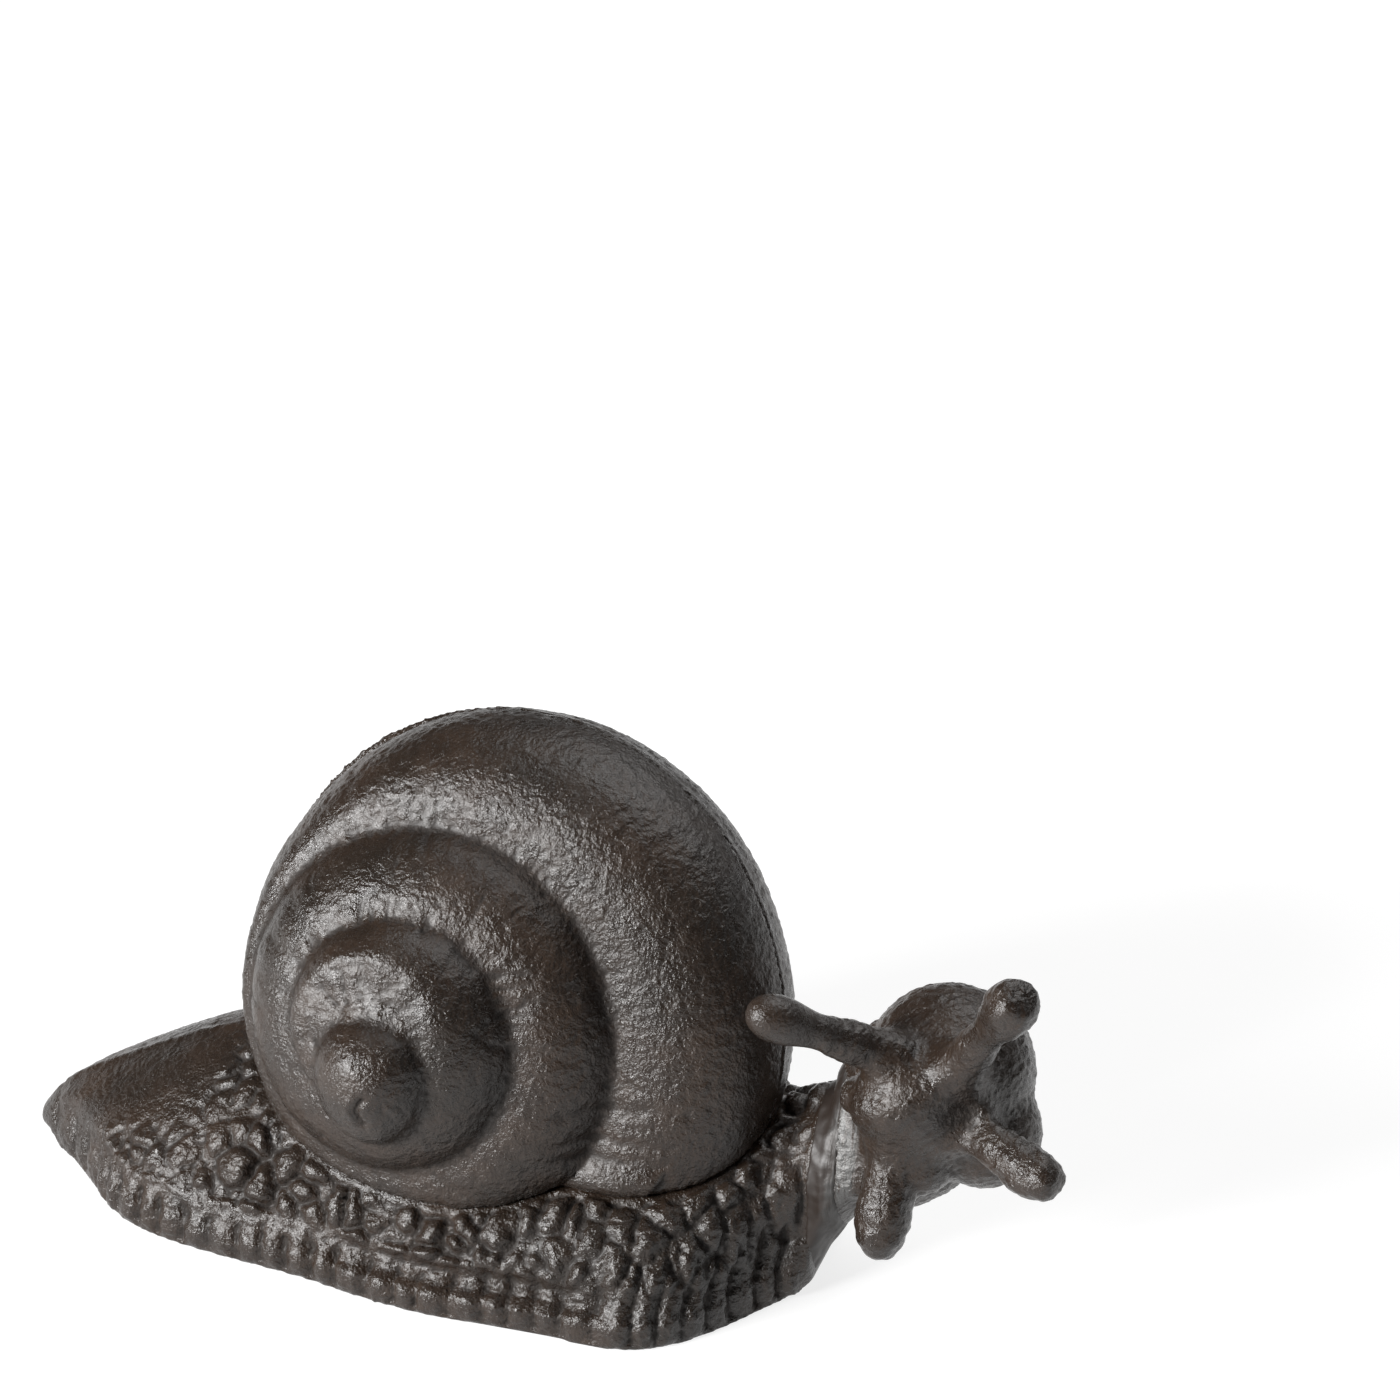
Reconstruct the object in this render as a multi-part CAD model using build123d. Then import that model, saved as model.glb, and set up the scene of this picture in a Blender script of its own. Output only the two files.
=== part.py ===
# Snail figurine: castings of foot, shell halves and head, with their hidden fixings
# Units mm, +Z up, +X toward the head, +Y to the snail's left; the sole rests on z = 0
import os
from math import cos, pi, radians, sin, sqrt
from build123d import *

# Shell coil: a conical spiral about one tilted axis, seen from the apex it grows clockwise
COIL_FRONT = (44.93, -16.97, 38.3)
COIL_AXIS = (-0.127, -0.946, 0.300)
COIL_FORWARD = (0.991, -0.133, 0.0)
SPIRE_HEIGHT = 28.8
SUTURE_SHARE = 0.7664
SUTURE_TURNS = 3.2
SUTURE_POWER = 1.2
CONE_POWER = 0.90
APERTURE_ANGLE = -67.6
WHORL_BULGE = 0.17
NUCLEUS_BULGE = 0.24
BELLY_SHARE = 0.62
SHOULDER_RISE = 0.05
SHOULDER_REACH = 0.60
CORE_RADIUS = 0.8
SECTOR_STEPS = 10

# Body whorl: a round rim in the seam plane, off centre from the coil axis by shares of its radius
SEAM_LEVEL = -14.0
RIM_RADIUS = 44.1
RIM_OFFSET_SHARE = (0.1723, 0.0181)
OLD_WHORL_FROM_TURN = 0.5
OLD_WHORL_DROP_SHARE = 0.25
OLD_WHORL_POWER = 1.5
OLD_WHORL_STEP = 2.5
LEFT_DEPTH = 20.0
CROWN_SHARE = 0.5
CROWN_INSET = 4.0
UMBILICUS_DEPTH = 6.0
DIMPLE_SLOPE = (-0.3, 1.0)

# Foot: skirt and pedal groove, each at most a share of the thin tail's section
SKIRT_HEIGHT = 7.0
SKIRT_SHARE = 0.55
SKIRT_SWELL = 0.7
GROOVE_DEPTH = 1.5
GROOVE_DEPTH_SHARE = 0.25
GROOVE_RISE = 1.6
GROOVE_RISE_SHARE = 0.15
GROOVE_LIP_SHARE = 0.3
# Flank points above the groove: share of the half width, its gain with fullness, share of the height
FLANK_SHARES = [(0.72, 0.14, 0.40), (0.38, 0.18, 0.82)]
# Stations along the body with half width of the sole, ridge height and fullness of the flank
FOOT_STATIONS = [
    (-75.0, 1.5, 3.6, 0.2),
    (-70.0, 5.5, 7.8, 0.1),
    (-62.0, 12.0, 13.0, 0.0),
    (-52.0, 21.5, 18.4, 0.0),
    (-38.0, 26.2, 24.4, 0.2),
    (-20.0, 28.6, 24.0, 0.8),
    (0.0, 32.0, 21.5, 0.9),
    (20.0, 32.0, 22.0, 0.9),
    (33.0, 31.4, 23.0, 0.7),
    (41.0, 25.4, 24.5, 0.5),
    (48.0, 15.5, 27.5, 0.6),
]
SOLE_TRIM = 1.0
SADDLE_FLOOR = 10.0
HOLLOW_HEIGHT = 14.0
# Outline of the hollow as distance along the body and half width, at the sole and under the back
HOLLOW_SOLE = [(-48.0, 14.0), (-30.0, 21.5), (0.0, 26.5), (22.0, 26.5), (33.0, 22.0)]
HOLLOW_ROOF = [(-40.0, 6.0), (-26.0, 11.5), (0.0, 16.5), (19.0, 16.5), (26.0, 13.0)]

# Neck joint: an upright oval, closed round its edge by a ring of filler
JOINT_X = 55.0
NECK_OVAL = (11.2, 13.8)
NECK_CENTRE = (0.0, 17.6)
FILLER_WIDTH = 4.6
FILLER_DEPTH = 1.6
FILLER_ROOM = 3.4
SPIGOT_RADIUS = 5.0
SPIGOT_LENGTH = 10.0
SPIGOT_LEVEL = 16.0

# Head: neck ovals, a bend ball, a stub that looks to the right, and balls for cheeks and chin
NECK_OVALS = [
    ((61.0, 1.4, 21.6), (0.86, 0.12, 0.50), (11.6, 13.4)),
    ((67.5, 3.2, 29.6), (0.72, 0.10, 0.69), (11.6, 11.8)),
]
BEND_CENTRE = (71.0, 1.4, 36.2)
BEND_RADIUS = 12.6
FACE_BALLS = [
    ((77.0, -1.0, 28.2), 8.6),
    ((64.4, -10.0, 36.3), 5.8),
    ((69.5, -8.5, 26.5), 5.2),
]
STUB_SIZES = [(0.0, 11.6), (7.0, 10.4), (12.0, 8.4), (15.0, 4.5)]
STUB_AIM = (-0.09, -0.99, 0.01)
# Stem of a stalk: shares of its length where it narrows, gain of its radius at the first, flare at the root
STEM_SHARES = (0.42, 0.66)
STEM_GAIN_SHARE = 1.12
ROOT_FLARE_SLOPE = (-0.4, 1.0)
# Each stalk: root, tip, root radius, stem radius, knob radius
STALKS = [
    ((66.0, -9.0, 43.5), (50.2, -22.0, 55.0), 5.0, 2.7, 3.4),
    ((74.5, -9.0, 42.5), (85.6, -19.0, 62.1), 5.0, 2.7, 3.5),
    ((66.5, -9.0, 33.0), (65.7, -16.0, 17.0), 6.0, 3.4, 3.1),
    ((74.0, -9.0, 35.0), (89.3, -16.0, 31.6), 4.8, 2.9, 3.2),
]
# Ovals of the neck: half angle of the flat at the bottom and number of points
OVAL_FLAT = 25.0
OVAL_POINTS = 13

# Fixings and fits
SEAT_CLEARANCE = 0.25
FIT_CLEARANCE = 0.10
SCREW_RADIUS = 2.5
SCREW_HEAD_RADIUS = 4.5
SCREW_HEAD_HEIGHT = 3.0
SCREW_SLOT_WIDTH = 1.2
SCREW_SLOT_DEPTH = 1.4
SCREW_LENGTH = 18.0
SCREW_WELL_RADIUS = 5.2
SCREW_RIGHT = (8.0, -14.0)
SCREW_LEFT = (8.0, 5.0)
DOWEL_RADIUS = 2.5
DOWEL_LENGTH = 14.0
DOWEL_FRONT = (16.0, 10.0)
DOWEL_REAR = (-13.0, -2.0)
HOLE_END_GAP = 1.0
OVERRUN = 1.0
BIG = 300.0

# The coil axis stands behind the front of the rim by the rim's radius and offset
coil_back = RIM_RADIUS * (1 + RIM_OFFSET_SHARE[0])
coil_origin = Vector(*COIL_FRONT) - coil_back * Vector(*COIL_FORWARD)
coil = Plane(origin=coil_origin, x_dir=COIL_FORWARD, z_dir=COIL_AXIS)


# Suture spiral: radius and height along the coil axis at a number of turns back from the aperture
def suture(turn):
    share = (max(SUTURE_TURNS + turn, 0) / SUTURE_TURNS) ** SUTURE_POWER
    return SUTURE_SHARE * RIM_RADIUS * share, SPIRE_HEIGHT * (1 - share ** CONE_POWER)


# Angle round the coil axis at a number of turns back from the aperture
def coil_angle(turn):
    return radians(APERTURE_ANGLE) - 2 * pi * turn


# How old the body whorl is at a number of turns back: 0 over its newer part, up to 1 a whole turn back
def whorl_age(turn):
    return max(0, (-turn - OLD_WHORL_FROM_TURN) / (1 - OLD_WHORL_FROM_TURN)) ** OLD_WHORL_POWER


# Distance from the coil axis to the rim: a circle off centre, drawn in where the whorl is older
def rim_distance(turn):
    angle = coil_angle(turn)
    along = RIM_OFFSET_SHARE[0] * cos(angle) + RIM_OFFSET_SHARE[1] * sin(angle)
    offset = RIM_OFFSET_SHARE[0] ** 2 + RIM_OFFSET_SHARE[1] ** 2
    drop = OLD_WHORL_DROP_SHARE * whorl_age(turn)
    return RIM_RADIUS * (along + sqrt(1 - offset + along ** 2) - drop)


# Half plane out from the coil axis, its x away from the axis and its y along it
def radial_plane(turn):
    direction = Vector(cos(coil_angle(turn)), sin(coil_angle(turn)), 0)
    return Plane((0, 0, 0), x_dir=direction, z_dir=direction.cross(Vector(0, 0, 1)))


# Outward arc between two sutures of one radial section
def whorl_arc(start, end, bulge):
    run = end[0] - start[0]
    rise = end[1] - start[1]
    middle = ((start[0] + end[0]) / 2 + bulge * rise, (start[1] + end[1]) / 2 - bulge * run)
    return ThreePointArc(start, middle, end)


# One radial section of the spire: rim, body whorl, two older whorls and nucleus
def spire_section(turn):
    points = [suture(turn - back) for back in range(3)]
    rim = (rim_distance(turn), SEAM_LEVEL)
    span = rim[0] - points[0][0]
    belly = (rim[0], rim[1] + BELLY_SHARE * (points[0][1] - rim[1]))
    shoulder = (points[0][0] + SHOULDER_REACH * span, points[0][1] + SHOULDER_RISE * span)
    apex = (CORE_RADIUS / 2, SPIRE_HEIGHT)
    foot = (CORE_RADIUS / 2, SEAM_LEVEL)
    with BuildSketch(radial_plane(turn)) as section:
        with BuildLine():
            Line(foot, rim)
            Bezier(rim, belly, shoulder, points[0])
            whorl_arc(points[0], points[1], WHORL_BULGE)
            whorl_arc(points[1], points[2], WHORL_BULGE)
            whorl_arc(points[2], apex, NUCLEUS_BULGE)
            Line(apex, foot)
        make_face()
    return section.sketch


# One radial section of the left side: rim, rounded crown and the dimple of the umbilicus
def crown_section(turn):
    rim = (rim_distance(turn), SEAM_LEVEL)
    depth = LEFT_DEPTH - OLD_WHORL_STEP * whorl_age(turn)
    crown = (CROWN_SHARE * rim[0] - CROWN_INSET, SEAM_LEVEL - depth)
    swell = (crown[0] + (rim[0] - crown[0]) * sqrt(0.5), SEAM_LEVEL - depth * sqrt(0.5))
    dimple = (CORE_RADIUS / 2, crown[1] + UMBILICUS_DEPTH)
    top = (CORE_RADIUS / 2, SEAM_LEVEL)
    with BuildSketch(radial_plane(turn)) as section:
        with BuildLine():
            Line(top, rim)
            Spline(rim, swell, crown, dimple, tangents=((0, -1), DIMPLE_SLOPE))
            Line(dimple, top)
        make_face()
    return section.sketch


# Shell half: two half turns of radial sections and a core on the coil axis
def shell_half(section, low, high):
    steps = range(SECTOR_STEPS + 1)
    old = loft([section(-1 + 0.5 * i / SECTOR_STEPS) for i in steps])
    new = loft([section(-0.5 + 0.5 * i / SECTOR_STEPS) for i in steps])
    core = Pos(0, 0, low) * Cylinder(CORE_RADIUS, high - low, align=(Align.CENTER, Align.CENTER, Align.MIN))
    return coil.location * (old + new + core)


# Right half with the spire
def right_shell():
    return shell_half(spire_section, SEAM_LEVEL, SPIRE_HEIGHT)


# Left half with the umbilicus
def left_shell():
    core_end = SEAM_LEVEL - LEFT_DEPTH + OLD_WHORL_STEP + UMBILICUS_DEPTH
    return shell_half(crown_section, core_end, SEAM_LEVEL)


# Half space above a level, as a large block
def above(level):
    return Pos(0, 0, level) * Box(BIG, BIG, BIG, align=(Align.CENTER, Align.CENTER, Align.MIN))


# Closed section from points given from one side of the flat bottom to the other
def closed_section(plane, points):
    with BuildSketch(plane) as section:
        with BuildLine():
            Spline(*points)
            Line(points[-1], points[0])
        make_face()
    return section.sketch


# Oval section with a short flat at its bottom, used through neck and joint
def oval_section(plane, sizes):
    span = 180 - OVAL_FLAT
    turns = [radians(90 + span * (1 - 2 * i / (OVAL_POINTS - 1))) for i in range(OVAL_POINTS)]
    return closed_section(plane, [(sizes[0] * cos(a), sizes[1] * sin(a)) for a in turns])


# Upright plane across the body, its x to the snail's left and its y up
def station_plane(x, y=0.0, z=0.0):
    return Plane((x, y, z), x_dir=(0, 1, 0), z_dir=(1, 0, 0))


# Foot section: skirt, pedal groove and rounded flank up to the ridge
def foot_section(x, half, top, full):
    skirt = min(SKIRT_HEIGHT, SKIRT_SHARE * top)
    groove = min(GROOVE_DEPTH, GROOVE_DEPTH_SHARE * half)
    bed = skirt + min(GROOVE_RISE, GROOVE_RISE_SHARE * top)
    side = [
        (half, -SOLE_TRIM),
        (half + SKIRT_SWELL, skirt / 2),
        (half - GROOVE_LIP_SHARE * groove, skirt),
        (half - groove, bed),
    ]
    for share, gain, level in FLANK_SHARES:
        side.append((half * (share + gain * full), bed + (top - bed) * level))
    mirrored = [(-across, up) for across, up in side]
    return closed_section(station_plane(x), mirrored + [(0, top)] + side[::-1])


# Section of the neck joint, shared by foot and head
def joint_section(grow):
    return oval_section(station_plane(JOINT_X, *NECK_CENTRE), [size + grow for size in NECK_OVAL])


# Outer body of the foot, or grown by a clearance the saddle that is cut from the shell
def foot_body(grow):
    sections = [foot_section(x, half + grow, top + grow, full) for x, half, top, full in FOOT_STATIONS]
    return loft(sections + [joint_section(grow)]) & above(0)


# Outline of the hollow at one level, the same on both sides
def hollow_outline(level, edge):
    other = [(x, -y) for x, y in edge[::-1]]
    with BuildSketch(Plane.XY.offset(level)) as outline:
        with BuildLine():
            Spline(*edge)
            Line(edge[-1], other[0])
            Spline(*other)
            Line(other[-1], edge[0])
        make_face()
    return outline.sketch


# Hollow of the underside, drawn up under the back with draft
def foot_hollow():
    return loft([hollow_outline(-SOLE_TRIM, HOLLOW_SOLE), hollow_outline(HOLLOW_HEIGHT, HOLLOW_ROOF)])


# Tentacle or eye stalk: flared root, slender stem and rounded knob about one axis
def stalk(root, tip, root_radius, stem_radius, knob_radius):
    axis = Vector(*tip) - Vector(*root)
    length = axis.length
    plane = Plane(root, z_dir=axis)
    with BuildSketch(Plane.XZ) as section:
        with BuildLine():
            Line((0, 0), (root_radius, 0))
            Spline(
                (root_radius, 0),
                (stem_radius * STEM_GAIN_SHARE, STEM_SHARES[0] * length),
                (stem_radius, STEM_SHARES[1] * length),
                (knob_radius, length),
                (0, length + knob_radius),
                tangents=(ROOT_FLARE_SLOPE, (-1, 0)),
            )
            Line((0, length + knob_radius), (0, 0))
        make_face()
    return plane.location * revolve(section.sketch, Axis.Z)


# Head casting before the joint is cut
def head_body():
    ovals = [joint_section(0.0)]
    for centre, aim, sizes in NECK_OVALS:
        across = Vector(0, 0, 1).cross(Vector(*aim))
        ovals.append(oval_section(Plane(centre, x_dir=across, z_dir=aim), sizes))
    body = loft(ovals) + Pos(*BEND_CENTRE) * Sphere(BEND_RADIUS)
    for centre, radius in FACE_BALLS:
        body += Pos(*centre) * Sphere(radius)
    stub_plane = Plane(BEND_CENTRE, z_dir=STUB_AIM)
    rings = [stub_plane.offset(ahead) * Circle(radius) for ahead, radius in STUB_SIZES]
    body += loft(rings)
    for values in STALKS:
        body += stalk(*values)
    return body


# Cylinder along an axis from a start point
def rod(plane, radius, length):
    return plane.location * Cylinder(radius, length, align=(Align.CENTER, Align.CENTER, Align.MIN))


# Pan head screw standing up through the roof of the hollow
def roof_screw(spot):
    low = HOLLOW_HEIGHT - SCREW_HEAD_HEIGHT
    head = rod(Plane((*spot, low)), SCREW_HEAD_RADIUS, SCREW_HEAD_HEIGHT)
    head = fillet(head.edges().sort_by(Axis.Z)[0], SCREW_HEAD_HEIGHT / 3)
    slot_length = 2 * SCREW_HEAD_RADIUS + OVERRUN
    slot = Pos(*spot, low) * Box(
        slot_length, SCREW_SLOT_WIDTH, SCREW_SLOT_DEPTH, align=(Align.CENTER, Align.CENTER, Align.MIN)
    )
    return head - slot + rod(Plane((*spot, HOLLOW_HEIGHT)), SCREW_RADIUS, SCREW_LENGTH)


# Hole for a roof screw, from the hollow up into the shell
def roof_hole(spot):
    length = OVERRUN + SCREW_LENGTH + HOLE_END_GAP
    return rod(Plane((*spot, HOLLOW_HEIGHT - OVERRUN)), SCREW_RADIUS + FIT_CLEARANCE, length)


# Well that lets a screw head pass up to the roof of the hollow
def screw_well(spot):
    return rod(Plane((*spot, -SOLE_TRIM)), SCREW_WELL_RADIUS, HOLLOW_HEIGHT + SOLE_TRIM)


# Locating pin across the seam, or with extra sizes the hole for it
def seam_pin(spot, extra_radius=0.0, extra_length=0.0):
    length = DOWEL_LENGTH + extra_length
    return coil.location * rod(Plane((*spot, SEAM_LEVEL - length / 2)), DOWEL_RADIUS + extra_radius, length)


foot = foot_body(0.0)
head = head_body()

# Ring of filler round the neck joint, cut from both castings
band_sides = [2 * (size + FILLER_ROOM) for size in NECK_OVAL]
band = Pos(JOINT_X, *NECK_CENTRE) * Box(FILLER_WIDTH, *band_sides)
inner_oval = oval_section(
    station_plane(JOINT_X - FILLER_WIDTH, *NECK_CENTRE),
    (NECK_OVAL[0] - FILLER_DEPTH, NECK_OVAL[1] - FILLER_DEPTH),
)
inner = extrude(inner_oval, 2 * FILLER_WIDTH)
filler = (foot + head) & band
filler = filler - inner

spigot_plane = Plane((JOINT_X - SPIGOT_LENGTH, 0, SPIGOT_LEVEL), z_dir=(1, 0, 0))
spigot = rod(spigot_plane, SPIGOT_RADIUS, SPIGOT_LENGTH + OVERRUN)
socket_plane = spigot_plane.offset(-HOLE_END_GAP)
socket = rod(socket_plane, SPIGOT_RADIUS + FIT_CLEARANCE, SPIGOT_LENGTH + HOLE_END_GAP)

pin_holes = [seam_pin(spot, FIT_CLEARANCE, HOLE_END_GAP) for spot in (DOWEL_FRONT, DOWEL_REAR)]
screw_holes = [roof_hole(spot) for spot in (SCREW_RIGHT, SCREW_LEFT)]
screw_wells = [screw_well(spot) for spot in (SCREW_RIGHT, SCREW_LEFT)]
saddle = foot_body(SEAT_CLEARANCE)

shell_right = (right_shell() & above(SADDLE_FLOOR)) - saddle - pin_holes - screw_holes[0]
shell_left = (left_shell() & above(SADDLE_FLOOR)) - saddle - pin_holes - screw_holes[1]
foot = foot - foot_hollow() - filler - socket - screw_holes - screw_wells
head = head - filler + spigot

pieces = {
    "foot_casting": foot,
    "shell_right_half": shell_right,
    "shell_left_half": shell_left,
    "head_casting": head,
    "neck_filler_ring": filler,
    "shell_screw_right": roof_screw(SCREW_RIGHT),
    "shell_screw_left": roof_screw(SCREW_LEFT),
    "seam_pin_front": seam_pin(DOWEL_FRONT),
    "seam_pin_rear": seam_pin(DOWEL_REAR),
}

# Origin on the ground under the middle of the whole outline
boxes = [piece.bounding_box() for piece in pieces.values()]
middle_x = (min(b.min.X for b in boxes) + max(b.max.X for b in boxes)) / 2
middle_y = (min(b.min.Y for b in boxes) + max(b.max.Y for b in boxes)) / 2
centring = Pos(-middle_x, -middle_y, 0)

os.makedirs("parts", exist_ok=True)
for name, piece in pieces.items():
    size = piece.bounding_box().size
    print(name, len(piece.solids()), piece.is_valid, round(piece.volume), [round(v, 1) for v in size])
    export_step(centring * piece, f"parts/{name}.step")
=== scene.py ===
import math
import bmesh
import bpy
import numpy as np
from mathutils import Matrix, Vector, noise
from mathutils.bvhtree import BVHTree


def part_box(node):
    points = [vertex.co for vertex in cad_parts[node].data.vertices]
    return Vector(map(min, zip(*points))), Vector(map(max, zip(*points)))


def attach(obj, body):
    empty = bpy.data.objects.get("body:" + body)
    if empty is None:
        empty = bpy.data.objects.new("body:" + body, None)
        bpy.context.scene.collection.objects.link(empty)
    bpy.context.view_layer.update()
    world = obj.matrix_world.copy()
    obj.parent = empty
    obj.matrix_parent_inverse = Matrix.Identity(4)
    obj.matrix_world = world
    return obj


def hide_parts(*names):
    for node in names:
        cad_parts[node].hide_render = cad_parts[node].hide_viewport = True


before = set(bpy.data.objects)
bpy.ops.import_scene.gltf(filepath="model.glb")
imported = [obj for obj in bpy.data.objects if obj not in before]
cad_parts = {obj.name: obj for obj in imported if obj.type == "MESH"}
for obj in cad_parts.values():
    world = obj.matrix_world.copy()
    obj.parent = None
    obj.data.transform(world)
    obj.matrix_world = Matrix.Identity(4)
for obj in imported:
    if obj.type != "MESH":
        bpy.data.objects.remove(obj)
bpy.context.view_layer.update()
mm = 0.001

# head to +X, the snail's right side to -Y, sole on z = 0; sculpting works in millimetres of this frame
footLow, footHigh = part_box("foot_casting")
midY = (footLow.y + footHigh.y) / 2 / mm
tailX = footLow.x / mm
neckX = footHigh.x / mm


def smoothStep(low, high, value):
    share = np.clip((value - low) / (high - low), 0, 1)
    return share * share * (3 - 2 * share)


def bell(value, centre, width):
    return np.exp(-((value - centre) / width) ** 2)


def softNoise(points, size, seed):
    return np.array([noise.noise(Vector(p)) for p in points / size + seed])


# soft uneven pillows, about 0 in the creases between them and 1 on top
def pillows(points, size, seed):
    near = np.array([noise.voronoi(Vector(p))[0][:2] for p in points / np.array(size) + seed])
    dome = np.clip(1 - near[:, 0] ** 2, 0, 1)
    return dome * smoothStep(-0.05, 0.32, near[:, 1] - near[:, 0])


castGrain = {"grain": 0.9, "lumps": 2.1, "lumpShare": 0.3}


# skin of a sand casting: grain of about 1 mm over fainter lumps of 2 mm
def castSkin(points, amount):
    lumps = castGrain["lumpShare"] * softNoise(points, castGrain["lumps"], 3.7)
    return amount * (lumps + softNoise(points, castGrain["grain"], 0.4))


def readVectors(mesh, what):
    flat = np.empty(len(mesh.vertices) * 3, dtype=np.float32)
    mesh.vertices.foreach_get(what, flat)
    return flat.reshape(-1, 3).astype(float)


def readPoints(mesh):
    return readVectors(mesh, "co") / mm


def writePoints(mesh, points):
    mesh.vertices.foreach_set("co", (points * mm).astype(np.float32).ravel())
    mesh.update()


def evenMesh(piece, voxel):
    remesh = piece.modifiers.new("evenMesh", "REMESH")
    remesh.mode = "VOXEL"
    remesh.voxel_size = voxel * mm
    remesh.use_smooth_shade = True
    bpy.context.view_layer.update()
    dense = bpy.data.meshes.new_from_object(piece.evaluated_get(bpy.context.evaluated_depsgraph_get()))
    piece.modifiers.clear()
    piece.data = dense
    dense.name = piece.name


# an even, closed mesh of a casting, ready to be sculpted
def castingCopy(nodeName, pieceName, voxel):
    bm = bmesh.new()
    bm.from_mesh(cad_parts[nodeName].data)
    bmesh.ops.remove_doubles(bm, verts=bm.verts, dist=1e-6)
    mesh = bpy.data.meshes.new(pieceName)
    bm.to_mesh(mesh)
    bm.free()
    piece = bpy.data.objects.new(pieceName, mesh)
    bpy.context.scene.collection.objects.link(piece)
    evenMesh(piece, voxel)
    return piece


def relaxed(mesh, points, rounds):
    pairs = np.empty(len(mesh.edges) * 2, dtype=np.int32)
    mesh.edges.foreach_get("vertices", pairs)
    first, second = pairs.reshape(-1, 2).T
    count = len(points)
    degree = np.bincount(first, minlength=count) + np.bincount(second, minlength=count)
    moved = points.copy()
    for step in range(rounds):
        for axis in range(3):
            here = moved[:, axis]
            around = np.bincount(first, here[second], count) + np.bincount(second, here[first], count)
            moved[:, axis] = here + 0.5 * (around / degree - here)
    return moved


# fillets the inner corners and leaves the outer ones
def fillCreases(mesh, rounds, share, softening):
    points = readPoints(mesh)
    normals = readVectors(mesh, "normal")
    rise = ((relaxed(mesh, points, rounds) - points) * normals).sum(1)
    points += normals * (share * np.maximum(rise, 0))[:, None]
    writePoints(mesh, relaxed(mesh, points, softening))


def raiseSurface(mesh, height):
    writePoints(mesh, readPoints(mesh) + readVectors(mesh, "normal") * height[:, None])


# pushes or pulls what faces the snail's right side, as a thumb does in clay
def pushSurface(mesh, place, size, push):
    points = readPoints(mesh)
    push = np.array(push)
    outward = push / np.linalg.norm(push) * np.sign(-push[1])
    facing = smoothStep(-0.1, 0.4, readVectors(mesh, "normal") @ outward)
    share = facing * bell(np.linalg.norm(points - np.array(place), axis=1), 0, size)
    writePoints(mesh, points + share[:, None] * push)


# how far each point is from the given CAD nodes, up to a reach
def clearOf(points, nodeNames, reach):
    nearest = np.full(len(points), reach)
    for name in nodeNames:
        bm = bmesh.new()
        bm.from_mesh(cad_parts[name].data)
        tree = BVHTree.FromBMesh(bm)
        bm.free()
        for i, p in enumerate(points):
            found = tree.find_nearest(Vector(p * mm), nearest[i] * mm)
            if found[3] is not None:
                nearest[i] = found[3] / mm
    return nearest


# groove attribute: 0.5 on even ground, up to 1 in the hollows and down to 0 on the crests
def markGrooves(mesh, rounds, depth):
    points = readPoints(mesh)
    sunk = ((relaxed(mesh, points, rounds) - points) * readVectors(mesh, "normal")).sum(1)
    groove = mesh.attributes.new("groove", "FLOAT", "POINT")
    groove.data.foreach_set("value", np.clip(0.5 + 0.5 * sunk / depth, 0, 1).astype(np.float32))


def finishPiece(piece, nodeName, material):
    piece.data.materials.clear()
    piece.data.materials.append(material)
    for polygon in piece.data.polygons:
        polygon.use_smooth = True
    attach(piece, "root")
    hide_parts(nodeName)
    print("piece", piece.name, len(piece.data.polygons), "faces")


# shader maths: a wrapped socket whose operators add Math nodes
class Wire:
    def __init__(self, tree, socket=None):
        self.tree = tree
        self.socket = socket

    def node(self, kind, settings=None, inputs=None, output=0):
        made = self.tree.nodes.new(kind)
        for key, value in (settings or {}).items():
            setattr(made, key, value)
        for key, value in (inputs or {}).items():
            if isinstance(value, Wire):
                self.tree.links.new(value.socket, made.inputs[key])
            else:
                made.inputs[key].default_value = value
        return Wire(self.tree, made.outputs[output])

    def maths(self, operation, a, b=0.0, clamp=False):
        return self.node("ShaderNodeMath", {"operation": operation, "use_clamp": clamp}, {0: a, 1: b})

    def __add__(self, other):
        return self.maths("ADD", self, other)

    def __radd__(self, other):
        return self.maths("ADD", other, self)

    def __sub__(self, other):
        return self.maths("SUBTRACT", self, other)

    def __rsub__(self, other):
        return self.maths("SUBTRACT", other, self)

    def __mul__(self, other):
        return self.maths("MULTIPLY", self, other)

    def __rmul__(self, other):
        return self.maths("MULTIPLY", other, self)

    def clamped(self):
        return self.maths("ADD", self, 0.0, clamp=True)

    def between(self, low, high):
        inputs = {"Value": self, "From Min": low, "From Max": high}
        return self.node("ShaderNodeMapRange", {"interpolation_type": "SMOOTHSTEP"}, inputs)

    def blend(self, one, other):
        colours = {"Factor": self, 6: one, 7: other}
        return self.node("ShaderNodeMix", {"data_type": "RGBA"}, colours, 2)


def newMaterial(name):
    material = bpy.data.materials.new(name)
    material.use_nodes = True
    tree = material.node_tree
    return material, tree.nodes["Principled BSDF"], Wire(tree)


def plug(tree, wire, node, name):
    tree.links.new(wire.socket, node.inputs[name])


# noise with grains of the given size in millimetres
def grainOf(place, size, detail=3.0, rough=0.5):
    inputs = {"Vector": place, "Scale": 1 / (size * mm), "Detail": detail, "Roughness": rough}
    return place.node("ShaderNodeTexNoise", None, inputs)


# noise drawn out round the neck, as grinding by hand leaves it
def streaksOf(place, size, stretch):
    drawnOut = place.node("ShaderNodeMapping", None, {"Vector": place, "Scale": (1, stretch, stretch)})
    return grainOf(drawnOut, size)


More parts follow.
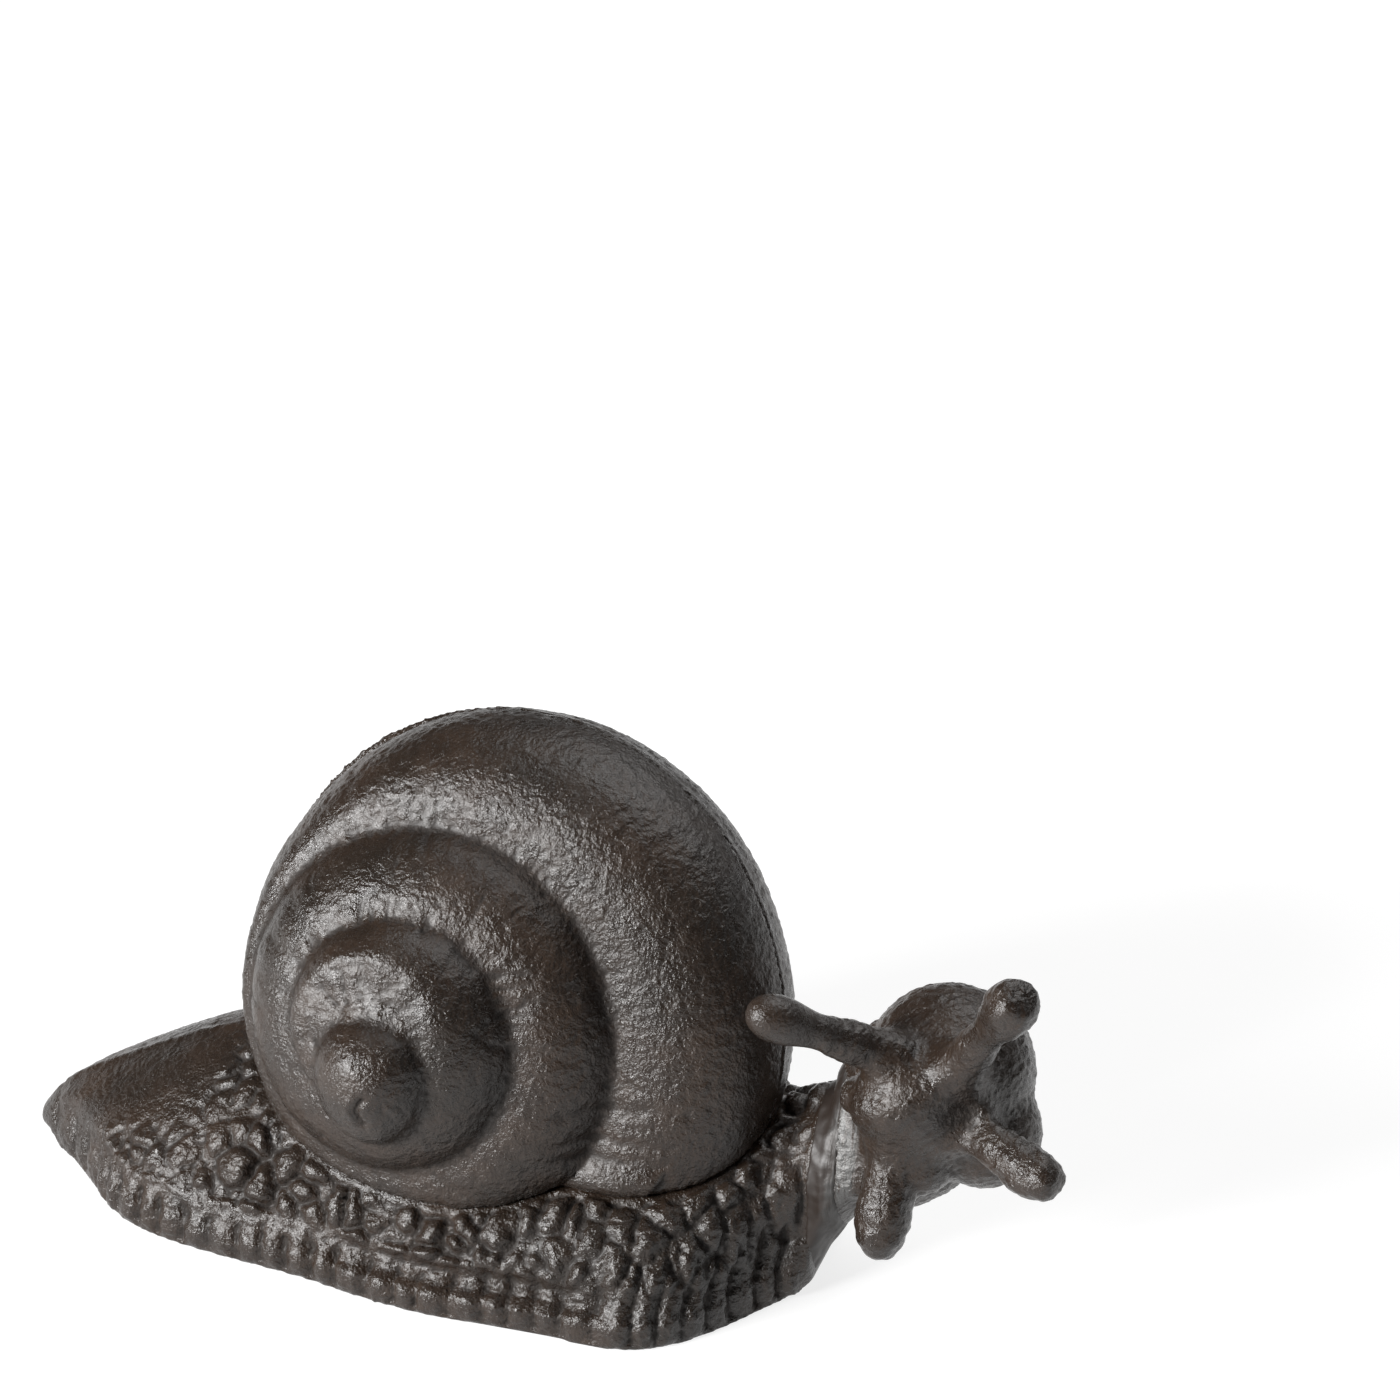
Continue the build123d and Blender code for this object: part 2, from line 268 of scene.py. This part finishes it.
ironFinish = {
    "umber": (0.020, 0.0125, 0.0085, 1),
    "warm": (0.036, 0.021, 0.0125, 1),
    "soot": (0.008, 0.0065, 0.005, 1),
    # the crest colour is painted light that lightens the crests; the groove colour is painted shade that
    # darkens the hollows
    "crestPaintedLight": (0.027, 0.020, 0.016, 1),
    "groove": (0.009, 0.0055, 0.0035, 1),
    "bare": (0.11, 0.108, 0.105, 1),
    "patchSize": 22.0, "mottleSize": 5.0, "speckSize": 1.6,
    "grainSize": 0.56, "grainDepth": 0.30,
    "streakSize": 0.4, "streakStretch": 0.12,
    "roughness": 0.26, "specular": 0.47, "coat": 0.10, "coatRoughness": 0.25,
}


# cast iron with a brown baked finish: umber, dull in the hollows, with painted shade darkening the hollows
# and painted light on the crests, sooty patches, orange-peel grain
def makeIron(values):
    material, shader, wire = newMaterial("brownIron")
    tree = material.node_tree
    place = wire.node("ShaderNodeTexCoord", output="Object")
    groove = wire.node("ShaderNodeAttribute", {"attribute_name": "groove"}, output="Fac")
    patches = grainOf(place, values["patchSize"]).between(0.42, 0.68)
    mottle = grainOf(place, values["mottleSize"], 4.0, 0.6).between(0.35, 0.7)
    specks = grainOf(place, values["speckSize"], 3.0, 0.6).between(0.45, 0.75)
    hollowShadeAndDull = groove.between(0.5, 0.85)
    high = (1 - groove).between(0.55, 0.9)

    colour = (mottle * 0.55).blend(values["umber"], values["warm"])
    colour = (patches * 0.55).blend(colour, values["soot"])
    # painted shade: the hollows are darkened towards the groove colour; painted light: the crests are
    # lightened towards the crest colour
    colour = (hollowShadeAndDull * 0.75).blend(colour, values["groove"])
    colour = (high * 0.5).blend(colour, values["crestPaintedLight"])

    # where the finish is ground off, in streaks round the neck
    ground = wire.node("ShaderNodeAttribute", {"attribute_name": "ground"}, output="Fac")
    streaks = streaksOf(place, values["streakSize"], values["streakStretch"])
    bare = (ground * 1.6 * streaks.between(0.30, 0.62)).clamped()
    colour = bare.blend(colour, values["bare"])
    plug(tree, colour, shader, "Base Color")
    plug(tree, bare * 0.6, shader, "Metallic")

    rough = values["roughness"] + 0.10 * mottle + 0.50 * hollowShadeAndDull - 0.05 * high - 0.04 * patches + 0.05 * specks
    plug(tree, (rough + 0.20 * bare).clamped(), shader, "Roughness")

    fine, coarse = values["grainSize"], values["grainSize"] * 2.4
    peel = grainOf(place, fine, 3.0, 0.55) + grainOf(place, coarse, 2.0) * 0.3
    bump = {"Height": peel, "Strength": 1.0, "Distance": values["grainDepth"] * mm}
    plug(tree, wire.node("ShaderNodeBump", None, bump), shader, "Normal")
    shader.inputs["Specular IOR Level"].default_value = values["specular"]
    shader.inputs["Coat Weight"].default_value = values["coat"]
    shader.inputs["Coat Roughness"].default_value = values["coatRoughness"]
    return material


fillerFinish = {
    "bare": (0.08, 0.078, 0.076, 1), "dark": (0.018, 0.012, 0.009, 1),
    "streakSize": 0.45, "streakStretch": 0.10, "blotchSize": 3.0,
    "roughness": 0.50, "bumpDepth": 0.2,
    "groundFrom": (neckX + 0.3, neckX + 1.3), "groundWander": 2.0,      # ground back on the head's side
}


# filler metal ground back by hand: bare streaks that run round the neck, with brown left between them
def makeFiller(values):
    material, shader, wire = newMaterial("groundFiller")
    tree = material.node_tree
    place = wire.node("ShaderNodeTexCoord", output="Object")
    streaks = streaksOf(place, values["streakSize"], values["streakStretch"])
    blotches = grainOf(place, values["blotchSize"])
    along = wire.node("ShaderNodeSeparateXYZ", None, {"Vector": place}, "X")
    start, full = values["groundFrom"]
    wander = (blotches - 0.5) * (values["groundWander"] * mm)
    ground = (along + wander).between(start * mm, full * mm)
    bare = ground * (streaks.between(0.35, 0.62) * 0.7 + blotches.between(0.4, 0.65) * 0.4).clamped()
    plug(tree, bare.blend(values["dark"], values["bare"]), shader, "Base Color")
    plug(tree, (bare * 0.6).clamped(), shader, "Metallic")
    plug(tree, (values["roughness"] + 0.08 * ground - 0.10 * streaks).clamped(), shader, "Roughness")
    relief = streaks * ground + blotches * 0.6
    bump = {"Height": relief, "Strength": 1.0, "Distance": values["bumpDepth"] * mm}
    plug(tree, wire.node("ShaderNodeBump", None, bump), shader, "Normal")
    return material


steelFinish = {"steel": (0.42, 0.41, 0.40, 1), "dull": (0.20, 0.17, 0.14, 1), "stainSize": 2.5}


# plain steel of screws and pins, dulled in places
def makeSteel(values):
    material, shader, wire = newMaterial("fixingSteel")
    tree = material.node_tree
    place = wire.node("ShaderNodeTexCoord", output="Object")
    dull = grainOf(place, values["stainSize"], 4.0).between(0.45, 0.7)
    plug(tree, dull.blend(values["steel"], values["dull"]), shader, "Base Color")
    plug(tree, 0.3 + 0.25 * dull, shader, "Roughness")
    shader.inputs["Metallic"].default_value = 1.0
    return material


brownIron = makeIron(ironFinish)
groundFiller = makeFiller(fillerFinish)
fixingSteel = makeSteel(steelFinish)
print("materials done")


# the underside of the neck is drawn up towards the head, on all three pieces alike
neck = {
    "lift": 6.0, "heights": (9.0, 24.0),
    "from": (44.5, 51.5), "easing": (53.0, 60.0), "until": (60.0, 70.0),
}


def neckLift(points):
    x, z = points[:, 0], points[:, 2]
    along = smoothStep(*neck["from"], x)
    along -= 0.5 * (smoothStep(*neck["easing"], x) + smoothStep(*neck["until"], x))
    return neck["lift"] * along * (1 - smoothStep(*neck["heights"], z))


foot = {
    "voxel": 0.5, "creases": (4, 0.6, 2), "grooveMarks": (10, 0.35),
    "tipReach": (2.0, 7.0), "tipBlend": 150,                              # the tail ends in a blunt round
    "ribPitch": 4.5, "ribDepth": 1.8, "ribTop": 6.6, "ribRise": 5.0,      # fringe, higher towards the head
    "grooveBand": (4.6, 8.4), "grooveDepth": 1.7,                         # pedal groove, deepest midway
    "grooveReach": (-34.0, -12.0, 12.0, 26.0),
    "tubercles": (4.3, 4.3, 5.2), "tubercleHeight": 1.9,
    "wrinkles": (4.4, 4.4, 13.0), "wrinkleHeight": 1.6,                   # upright wrinkles towards the neck
    "wrinkleReach": (-8.0, 16.0),
    # share of the height with tubercles at the tip of the tail, and what is added from one x to another
    "coverStart": 0.30, "coverGrowth": [(0.25, -80.0, -62.0), (0.65, -54.0, -40.0)], "coverFade": 0.2,
    "smoothTail": (-80.0, -60.0), "tailRidge": 0.4, "ridgeWidth": 0.9, "ridgeEnd": (-56.0, -44.0),
    "waves": 0.7, "skin": 0.32, "jointLap": 0.8,
}


# distance run along the edge of the skirt from the tail, and height as a share of the back, for each point
def footPlace(points):
    stations = np.arange(tailX, neckX + 1, 1.0)
    place = np.round(points[:, 0] - tailX).astype(int).clip(0, len(stations) - 1)
    half, back = np.zeros(len(stations)), np.ones(len(stations))
    low = (points[:, 2] > 2) & (points[:, 2] < 5)
    np.maximum.at(half, place[low], np.abs(points[low, 1] - midY))
    np.maximum.at(back, place, points[:, 2])
    run = np.concatenate([[0], np.cumsum(np.hypot(1.0, np.diff(half)))])
    return np.interp(points[:, 0], stations, run), points[:, 2] / np.interp(points[:, 0], stations, back)


# 1 on the skin that is sculpted, 0 in the hollow, on the sole, against the shell and at both ends
def footSkin(points, normals):
    x, y, z = points.T
    spine = np.clip(x, tailX + 22, neckX - 14)
    away = np.column_stack([x - spine, y - midY])
    away /= np.maximum(np.hypot(*away.T), 1e-6)[:, None]
    outward = (away * normals[:, :2]).sum(1)
    skin = np.maximum(smoothStep(0.0, 0.25, normals[:, 2]), smoothStep(0.05, 0.3, outward))
    skin *= 1 - smoothStep(neckX - 3.5, neckX - 1.8, x)
    skin *= smoothStep(0.3, 1.0, clearOf(points, ["shell_right_half", "shell_left_half"], 2.0))
    skin *= smoothStep(0.0, 0.6, z) * smoothStep(tailX + 1.0, tailX + 7.0, x)
    return skin


# fringe of round lobes with narrow gaps, the pedal groove above it and slow waves
def fringeHeight(points, run, front):
    x, y, z = points.T
    track = np.column_stack([run, np.sign(y - midY) * 40, z * 0.25])
    tail = 1 - smoothStep(*foot["smoothTail"], x)
    phase = run / foot["ribPitch"] + 0.5 * softNoise(track, 9.0, 3.1)
    lobe = np.sqrt(1 - (2 * (phase % 1) - 1) ** 2)
    ribTop = foot["ribTop"] + 0.8 * softNoise(track, 5.0, 8.7) + foot["ribRise"] * front
    fringe = smoothStep(0.1, 1.4, z) * (1 - smoothStep(ribTop - 0.8, ribTop + 1.4, z))
    depth = foot["ribDepth"] * (0.8 + 0.6 * softNoise(track, 14.0, 1.4)) * (1 - 0.5 * tail)
    height = depth * (lobe - 0.9) * fringe

    low, high = foot["grooveBand"]
    start, full, fade, end = foot["grooveReach"]
    reach = 0.25 + 0.75 * smoothStep(start, full, x) * (1 - smoothStep(fade, end, x))
    band = smoothStep(low - 0.8, low + 1.2, z) * (1 - smoothStep(high - 0.8, high + 0.8, z))
    height -= foot["grooveDepth"] * band * reach * (1 - tail)
    height += foot["waves"] * (softNoise(track, 15.0, 5.5) - 0.3) * (1 - smoothStep(5, 11, z))
    return height


# tubercles, drawn out into upright wrinkles towards the neck
def flankHeight(points, front):
    high = foot["grooveBand"][1]
    above = smoothStep(high - 0.5, high + 1.2, points[:, 2])
    warp = points + 1.2 * np.column_stack([softNoise(points, 6.0, s) for s in (1.7, 4.2, 9.3)])
    warp += 0.4 * np.column_stack([softNoise(points, 2.2, s) for s in (2.6, 5.1, 8.4)])
    tubercle = foot["tubercleHeight"] * (pillows(warp, foot["tubercles"], 2.3) - 0.5)
    wrinkle = foot["wrinkleHeight"] * (pillows(warp, foot["wrinkles"], 6.1) - 0.5)
    strength = 1 + 0.9 * softNoise(points, 12.0, 7.7)
    return above * strength * ((1 - front) * tubercle + front * wrinkle)


def sculptFoot(mesh):
    fillCreases(mesh, *foot["creases"])
    points = readPoints(mesh)
    tipStart, tipEnd = foot["tipReach"]
    atTip = 1 - smoothStep(tailX + tipStart, tailX + tipEnd, points[:, 0])
    points += atTip[:, None] * (relaxed(mesh, points, foot["tipBlend"]) - points)
    writePoints(mesh, points)
    normals = readVectors(mesh, "normal")
    points[:, 0] += foot["jointLap"] * smoothStep(0.3, 0.8, normals[:, 0]) * (points[:, 0] > neckX - 4.5)
    writePoints(mesh, points)

    x, y = points[:, 0], points[:, 1]
    skin = footSkin(points, normals)
    front = smoothStep(*foot["wrinkleReach"], x)
    run, share = footPlace(points)
    cover = foot["coverStart"]
    for gain, start, end in foot["coverGrowth"]:
        cover = cover + gain * smoothStep(start, end, x)
    covered = 1 - smoothStep(cover, cover + foot["coverFade"], share)     # the top of the tail is smooth
    ridge = bell(y, midY, foot["ridgeWidth"]) * (1 - smoothStep(*foot["ridgeEnd"], x))
    height = fringeHeight(points, run, front) + covered * flankHeight(points, front)
    height += foot["tailRidge"] * ridge * smoothStep(0.8, 0.95, share)
    raiseSurface(mesh, height * skin)

    writePoints(mesh, relaxed(mesh, readPoints(mesh), 1))
    raiseSurface(mesh, castSkin(points, foot["skin"]) * skin * (0.45 + 0.55 * covered))
    points = readPoints(mesh)
    points[:, 2] = np.maximum(points[:, 2] + neckLift(points), 0)
    writePoints(mesh, points)


footCasting = castingCopy("foot_casting", "footCasting", foot["voxel"])
sculptFoot(footCasting.data)
markGrooves(footCasting.data, *foot["grooveMarks"])
finishPiece(footCasting, "foot_casting", brownIron)


coil = {
    "origin": (-15.03, -7.48, 38.3), "axis": (-0.127, -0.946, 0.300), "forward": (0.991, -0.133, 0.0),
    "seamLevel": -14.0, "mouthAngle": -67.6,
    "sutureRadius": 33.8, "outerReach": 14.0, "turns": 3.2, "power": 1.2,
}
shell = {
    "voxel": 0.5, "creases": (6, 0.7, 3), "grooveMarks": (14, 0.30),
    "lineSpacing": 1.9, "lineHeight": 0.22, "scoreSpacing": 3.4, "scoreDepth": 0.26,      # growth lines
    # fine flash along the seam, where each edge laps the other
    "seamHeight": 0.18, "seamWidth": 0.7, "seamLap": 0.45,
    "seamFill": 0.45, "edgeLap": 1.6, "edgeReach": 1.3, "edgeBlend": 6,
    # bulb at the apex, on the side of the coil above apexLevel, with a slit in it
    "apexLevel": 12.0, "nucleus": (1.6, -4.8), "nucleusRadius": 9.2, "nucleusStretch": 1.22,
    "nucleusLevel": 17.0, "nucleusRise": 9.8,
    "nucleusSeat": 20.4, "seatReach": (8.0, 12.0), "seatBlend": 60,
    "slit": ((3.8, -7.4), (3.5, -11.2)), "slitDepth": 0.8, "slitWidth": 0.6, "slitBow": 0.9,
    # rolled lip above the foot, with grooves over it
    "lipLevel": 21.0, "lipHeight": 0.9, "lipWidth": 2.3, "lipReach": (5.0, 11.0, 27.0, 34.0),
    "lipGrooves": (24.4, 27.2, 32.5), "lipGrooveDepth": 0.25,
    "slimRear": 1.8, "dents": 0.26, "skin": 0.18,
}
coilAxis = np.array(coil["axis"]) / np.linalg.norm(coil["axis"])
coilForward = np.array(coil["forward"]) / np.linalg.norm(coil["forward"])
coilUpward = np.cross(coilAxis, coilForward)


# height along the coil axis, growth along the spiral in mm, whorl number and place across the whorl
def coilPlace(points):
    away = points - np.array(coil["origin"])
    u, v, w = away @ coilForward, away @ coilUpward, away @ coilAxis
    radius = np.hypot(u, v)
    turn = -((np.degrees(np.arctan2(v, u)) - coil["mouthAngle"]) / 360 % 1)
    sutures = []
    for back in range(4):
        age = np.maximum(coil["turns"] + turn - back, 0) / coil["turns"]
        sutures.append(coil["sutureRadius"] * age ** coil["power"])
    whorl = sum((radius < s).astype(int) for s in sutures[:3])
    edges = np.column_stack([sutures[0] + coil["outerReach"]] + sutures)
    pick = np.arange(len(points))
    outer, inner = edges[pick, whorl], edges[pick, whorl + 1]
    across = np.clip((radius - inner) / (outer - inner), 0, 1)
    age = np.maximum(coil["turns"] + turn - whorl, 0) / coil["turns"]
    fullRun = 2 * math.pi * coil["sutureRadius"] * coil["turns"] / (coil["power"] + 1)
    growth = fullRun * age ** (coil["power"] + 1)
    return u, v, w, growth, whorl, across


# the oldest turn is one round bulb that rises from the turn around it
def shapeNucleus(piece):
    mesh = piece.data
    points = readPoints(mesh)
    u, v, w = coilPlace(points)[:3]
    seat, apex = shell["nucleusSeat"], shell["apexLevel"]
    seated = np.where(w > seat, seat + 0.2 * (w - seat), w)
    inner = (1 - smoothStep(*shell["seatReach"], np.hypot(u, v))) * (w > apex)
    points += (seated - w)[:, None] * coilAxis
    points += inner[:, None] * (relaxed(mesh, points, shell["seatBlend"]) - points)

    u, v, w = coilPlace(points)[:3]
    du, dv = u - shell["nucleus"][0], v - shell["nucleus"][1]
    distance = np.hypot(du, np.where(dv < 0, dv / shell["nucleusStretch"], dv)) / shell["nucleusRadius"]
    bulb = shell["nucleusLevel"] + shell["nucleusRise"] * np.sqrt(np.clip(1 - distance ** 2, 0, 1))
    points += ((w > apex) * (distance < 1) * np.maximum(bulb - w, 0))[:, None] * coilAxis
    writePoints(mesh, points)
    evenMesh(piece, shell["voxel"])


def cutSlit(mesh):
    u, v, w = coilPlace(readPoints(mesh))[:3]
    start, end = np.array(shell["slit"])
    length = end - start
    fromStart = np.column_stack([u, v]) - start
    along = np.clip(fromStart @ length / (length @ length), 0, 1)
    gap = fromStart - along[:, None] * length
    gap[:, 0] += shell["slitBow"] * np.sin(math.pi * along)
    depth = shell["slitDepth"] * bell(np.hypot(*gap.T), 0, shell["slitWidth"])
    raiseSurface(mesh, -depth * (w > shell["apexLevel"]))


# growth lines across the whorls, with scores among them
def growthHeight(points, growth, across):
    track = np.column_stack([growth, across * 3.0, np.zeros(len(points))])
    lines = softNoise(track, shell["lineSpacing"], 2.2)
    scores = smoothStep(0.86, 1.0, 1 - np.abs(softNoise(track, shell["scoreSpacing"], 5.8)))
    scores *= smoothStep(-0.1, 0.4, softNoise(points, 6.0, 1.2))
    return shell["lineHeight"] * lines - shell["scoreDepth"] * scores


def lipHeight(points, w):
    start, full, fade, end = shell["lipReach"]
    x = points[:, 0]
    z = points[:, 2] + 0.5 * softNoise(points, 8.0, 7.1)
    reach = smoothStep(start, full, x) * (1 - smoothStep(fade, end, x)) * (w > -1)
    height = shell["lipHeight"] * bell(z, shell["lipLevel"], shell["lipWidth"])
    for groove in shell["lipGrooves"]:
        height -= shell["lipGrooveDepth"] * bell(z, groove, 0.8)
    return height * reach


def sculptShell(mesh, isRight):
    fillCreases(mesh, *shell["creases"])
    if isRight:
        cutSlit(mesh)
    points = readPoints(mesh)
    normals = readVectors(mesh, "normal")
    u, v, w, growth, whorl, across = coilPlace(points)
    toSeam = -coilAxis if isRight else coilAxis
    facing = normals @ toSeam
    level = coil["seamLevel"]
    seamFace = smoothStep(0.8, 0.95, facing) * bell(w, level, 1.2)
    skin = (1 - seamFace) * smoothStep(0.3, 1.0, clearOf(points, ["foot_casting"], 2.0))

    spire = np.where(whorl > 0, 1.0, 0.35) if isRight else 0.25
    height = growthHeight(points, growth, across) * spire
    if isRight:
        height += lipHeight(points, w)
    rearward = smoothStep(0.1, 0.9, -normals @ coilForward) * smoothStep(0.0, 0.5, across)
    height -= shell["slimRear"] * rearward * (whorl == 0)

    radial = (u[:, None] * coilForward + v[:, None] * coilUpward) / np.hypot(u, v)[:, None]
    edge = bell(w, level, 0.8) * (1 - smoothStep(0.9, 0.99, np.abs(facing)))
    edge *= shell["seamFill"] * ((radial * normals).sum(1) > 0) * skin
    points += edge[:, None] * (radial + shell["edgeLap"] * toSeam)
    nearSeam = bell(w, level, shell["edgeReach"])
    points += nearSeam[:, None] * (relaxed(mesh, points, shell["edgeBlend"]) - points)
    writePoints(mesh, points)
    seam = bell(w, level, shell["seamWidth"]) * (1 - smoothStep(0.5, 0.8, np.abs(facing)))
    height += shell["seamHeight"] * seam * (0.5 + 1.1 * softNoise(points, 7.0, 4.4))
    height += shell["dents"] * softNoise(points, 15.0, 9.9)
    height += castSkin(points, shell["skin"]) * (1 - 0.8 * bell(w, level, 1.6))
    raiseSurface(mesh, height * skin + shell["seamLap"] * seamFace)


for nodeName, pieceName in (("shell_right_half", "shellRight"), ("shell_left_half", "shellLeft")):
    isRight = nodeName == "shell_right_half"
    piece = castingCopy(nodeName, pieceName, shell["voxel"])
    if isRight:
        shapeNucleus(piece)
    sculptShell(piece.data, isRight)
    markGrooves(piece.data, *shell["grooveMarks"])
    finishPiece(piece, nodeName, brownIron)


head = {
    "voxel": 0.42, "creases": (90, 1.0, 4), "grooveMarks": (14, 0.30),
    # root and tip of each stalk, whose roots are blended and whose knobs are blunt
    "stalks": [((57.3, -6.4, 43.5), (41.5, -19.4, 55.0)), ((65.8, -6.4, 42.5), (76.9, -16.4, 62.1)),
               ((57.8, -6.4, 33.0), (57.0, -13.4, 17.0)), ((65.3, -6.4, 35.0), (80.6, -13.4, 31.6))],
    "rootReach": (6.0, 10.0), "rootBlend": 120,
    "knobReach": (5.0, 7.0), "knobFlat": (9.0, 1.6, 9.0, 2.6), "knobLumps": 0.4,
    "swellReach": (5.0, 13.0), "knobSwell": (0.6, 0.3, 0.8, 0.5),
    # cheek and the hollow between the stalks: place, size and push
    "faceForms": [((61.0, -11.0, 37.8), 6.4, (-0.3, -3.2, 1.0)),
                  ((67.5, -11.5, 37.0), 4.4, (0.2, 2.8, -0.4))],
    # strip on the right of the neck where the finish is ground off: its start and end in x and in z
    "groundX": ((47.6, 48.6), (50.6, 51.8)), "groundZ": ((15.0, 19.0), (31.0, 34.0)),
    "dents": 0.25, "skin": 0.22, "jointLap": 1.0,
}


# blunts the knobs and blends the roots; gives each point's share in a knob and its swelling
def shapeStalks(mesh, points):
    nearRoot, nearKnob, swell = np.zeros((3, len(points)))
    for (root, tip), gain, flat in zip(np.array(head["stalks"]), head["knobSwell"], head["knobFlat"]):
        axis = (tip - root) / np.linalg.norm(tip - root)
        fromTip = np.linalg.norm(points - tip, axis=1)
        knob = 1 - smoothStep(*head["knobReach"], fromTip)
        points -= (0.6 * knob * np.maximum((points - tip) @ axis - flat, 0))[:, None] * axis
        swell += gain * (1 - smoothStep(*head["swellReach"], fromTip))
        nearKnob = np.maximum(nearKnob, knob)
        fromRoot = np.linalg.norm(points - root, axis=1)
        nearRoot = np.maximum(nearRoot, 1 - smoothStep(*head["rootReach"], fromRoot))
    points += nearRoot[:, None] * (relaxed(mesh, points, head["rootBlend"]) - points)
    return nearKnob, swell


# draws up the neck, but not the tentacle under the cheek
def liftNeck(mesh):
    points = readPoints(mesh)
    root, tip = np.array(head["stalks"][2])
    length = tip - root
    along = np.clip((points - root) @ length / (length @ length), 0, 1.2)
    apart = np.linalg.norm(points - root - along[:, None] * length, axis=1)
    points[:, 2] += neckLift(points) * smoothStep(4.0, 7.0, apart)
    writePoints(mesh, points)


# ground attribute: 1 on the strip without finish
def markGround(mesh):
    x, y, z = readPoints(mesh).T
    strip = (y < midY).astype(float)
    for place, (start, end) in ((x, head["groundX"]), (z, head["groundZ"])):
        strip *= smoothStep(*start, place) * (1 - smoothStep(*end, place))
    ground = mesh.attributes.new("ground", "FLOAT", "POINT")
    ground.data.foreach_set("value", strip.astype(np.float32))


def sculptHead(mesh):
    fillCreases(mesh, *head["creases"])
    points = readPoints(mesh)
    nearKnob, swell = shapeStalks(mesh, points)
    normals = readVectors(mesh, "normal")
    atJoint = (points[:, 0] < neckX + 4.5) & (points[:, 0] > neckX + 1.0)
    points[:, 0] -= head["jointLap"] * smoothStep(0.3, 0.8, -normals[:, 0]) * atJoint
    writePoints(mesh, points)
    for place, size, push in head["faceForms"]:
        pushSurface(mesh, place, size, push)
    writePoints(mesh, relaxed(mesh, readPoints(mesh), 3))

    points = readPoints(mesh)
    height = head["dents"] * softNoise(points, 7.0, 3.3)
    height += head["knobLumps"] * nearKnob * softNoise(points, 3.0, 8.2)
    height += swell + castSkin(points, head["skin"])
    outside = smoothStep(neckX + 1.5, neckX + 3.0, points[:, 0])         # the spigot stays true
    raiseSurface(mesh, height * outside)
    liftNeck(mesh)
    markGround(mesh)


headCasting = castingCopy("head_casting", "headCasting", head["voxel"])
sculptHead(headCasting.data)
markGrooves(headCasting.data, *head["grooveMarks"])
finishPiece(headCasting, "head_casting", brownIron)


filler = {"voxel": 0.35, "roughSize": 1.6, "roughHeight": 0.18}


def sculptFiller(mesh):
    raiseSurface(mesh, filler["roughHeight"] * softNoise(readPoints(mesh), filler["roughSize"], 5.0))
    points = readPoints(mesh)
    points[:, 2] += neckLift(points)
    writePoints(mesh, points)


fillerRing = castingCopy("neck_filler_ring", "fillerRing", filler["voxel"])
sculptFiller(fillerRing.data)
finishPiece(fillerRing, "neck_filler_ring", groundFiller)

for nodeName in ("shell_screw_right", "shell_screw_left", "seam_pin_front", "seam_pin_rear"):
    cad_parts[nodeName].data.materials.clear()
    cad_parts[nodeName].data.materials.append(fixingSteel)
print("pieces done")


studio = {
    "eye": (0.25496, -0.71760, 0.50544), "gaze": (-0.26765, 0.83563, -0.47967),
    "lens": 154.62, "sensor": 36.0,
    "floorSize": 6.0, "floorColour": (0.26, 0.26, 0.26, 1), "floorRoughness": 0.9,
    "glow": 0.80, "worldLevel": 0.06, "lampAim": (0, 0, 0.035),
}
# each lamp: where it stands, its size and its power
lamps = {
    "windowLeft": ((-0.85, -1.00, 0.55), 0.50, 42.0),
    "softTop": ((0.35, 0.70, 1.15), 1.2, 13.0),
}


def makeFloor():
    bm = bmesh.new()
    bmesh.ops.create_grid(bm, x_segments=1, y_segments=1, size=studio["floorSize"] / 2)
    mesh = bpy.data.meshes.new("studioFloor")
    bm.to_mesh(mesh)
    bm.free()
    floor = bpy.data.objects.new("studioFloor", mesh)
    bpy.context.scene.collection.objects.link(floor)
    material, shader, wire = newMaterial("paleFloor")
    shader.inputs["Base Color"].default_value = studio["floorColour"]
    shader.inputs["Roughness"].default_value = studio["floorRoughness"]
    seen = wire.node("ShaderNodeLightPath", output="Is Camera Ray")
    for ray in ("Is Glossy Ray", "Is Transmission Ray"):
        seen = seen.maths("MAXIMUM", seen, wire.node("ShaderNodeLightPath", output=ray))
    glow = wire.node("ShaderNodeEmission", None, {"Strength": seen * studio["glow"]})
    both = wire.node("ShaderNodeAddShader", None, {0: Wire(material.node_tree, shader.outputs[0]), 1: glow})
    out = material.node_tree.nodes["Material Output"]
    material.node_tree.links.new(both.socket, out.inputs["Surface"])
    mesh.materials.append(material)


def makeLamps():
    aim = Vector(studio["lampAim"])
    for name, (spot, size, power) in lamps.items():
        data = bpy.data.lights.new(name, "AREA")
        data.size = size
        data.energy = power
        lamp = bpy.data.objects.new(name, data)
        bpy.context.scene.collection.objects.link(lamp)
        lamp.location = spot
        lamp.rotation_euler = (aim - Vector(spot)).to_track_quat("-Z", "Y").to_euler()


def makeCamera():
    data = bpy.data.cameras.new("photoCamera")
    data.lens = studio["lens"]
    data.sensor_width = studio["sensor"]
    data.clip_start = 0.01
    camera = bpy.data.objects.new("photoCamera", data)
    bpy.context.scene.collection.objects.link(camera)
    camera.location = studio["eye"]
    camera.rotation_euler = Vector(studio["gaze"]).to_track_quat("-Z", "Y").to_euler()
    bpy.context.scene.camera = camera


def makeWorld():
    world = bpy.data.worlds.new("studioWorld")
    bpy.context.scene.world = world
    world.use_nodes = True
    sky = world.node_tree.nodes["Background"]
    sky.inputs["Color"].default_value = (1, 1, 1, 1)
    sky.inputs["Strength"].default_value = studio["worldLevel"]


makeFloor()
makeLamps()
makeCamera()
makeWorld()
bpy.context.scene.view_settings.view_transform = "Standard"
print("studio done")
